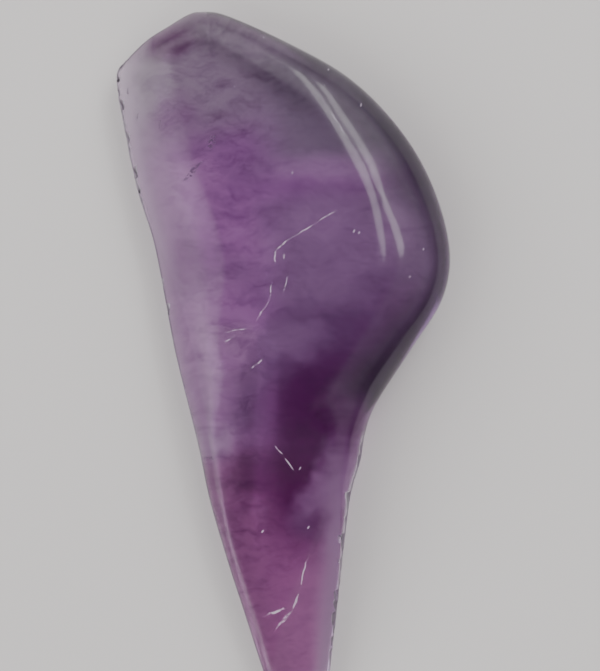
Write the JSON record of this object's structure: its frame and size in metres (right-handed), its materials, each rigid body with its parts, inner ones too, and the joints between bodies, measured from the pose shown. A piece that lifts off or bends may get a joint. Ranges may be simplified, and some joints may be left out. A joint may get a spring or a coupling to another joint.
{
  "type": "polished fluorite freeform",
  "caption": "Palm-sized slab of see-through purple fluorite, polished to a blade with a full round back, a thin ragged edge and a tapering stem.",
  "frame": {"origin": "centre of the bounding box at its base, under the flat back", "axes": "+X towards the full round back of the blade, +Y from the tip to the crown, +Z out of the polished face"},
  "size_m": [0.0456, 0.099, 0.0129],
  "materials": {
    "purple_fluorite": "hand-polished, see-through purple fluorite with soft colour zones, fine scratches and a rough broken edge"
  },
  "bodies": {
    "root": {"polished_stone": "purple_fluorite"}
  },
  "joints": []
}
